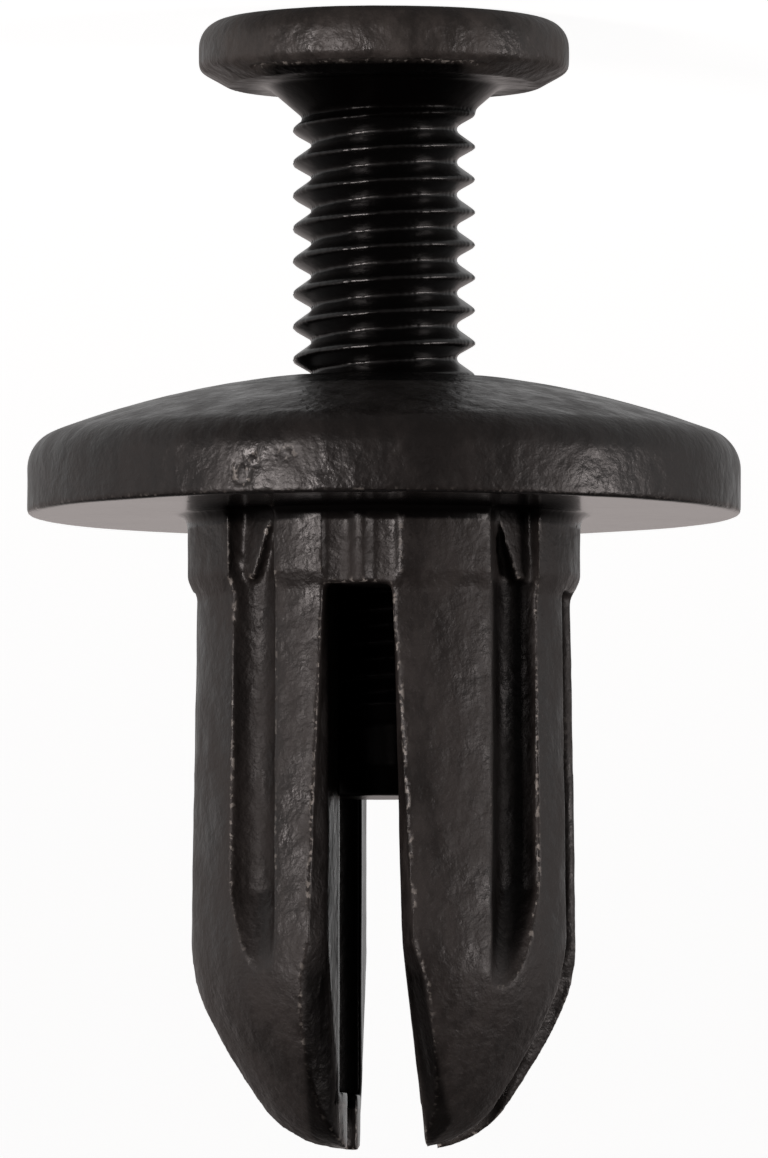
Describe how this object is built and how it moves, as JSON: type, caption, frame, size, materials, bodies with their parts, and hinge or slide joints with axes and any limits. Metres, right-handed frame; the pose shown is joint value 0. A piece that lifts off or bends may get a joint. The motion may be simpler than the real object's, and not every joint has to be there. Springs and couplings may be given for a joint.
{
  "type": "plastic push rivet",
  "caption": "Two-piece plastic panel rivet: a split-leg grommet with a broad domed flange, and a threaded drive pin with a flat round head that spreads the legs.",
  "frame": {"origin": "centre of the pin head's face, which the rivet stands on", "axes": "+Z along the rivet's axis from the head to the leg tips, +X through the side slots, +Y through the front and back slots"},
  "size_m": [0.02, 0.02, 0.0316],
  "materials": {
    "grommet_polyamide": "black moulded polyamide, fine satin grain",
    "pin_polyamide": "black moulded polyamide, slightly glossier than the grommet"
  },
  "bodies": {
    "grommet": {"grommet": "grommet_polyamide"},
    "drive_pin": {"drive_pin": "pin_polyamide"}
  },
  "joints": [
    {"name": "pin_push", "type": "slide", "parent": "grommet", "child": "drive_pin", "axis": [0, 0, 1], "range_m": [0, 0.0081]}
  ]
}
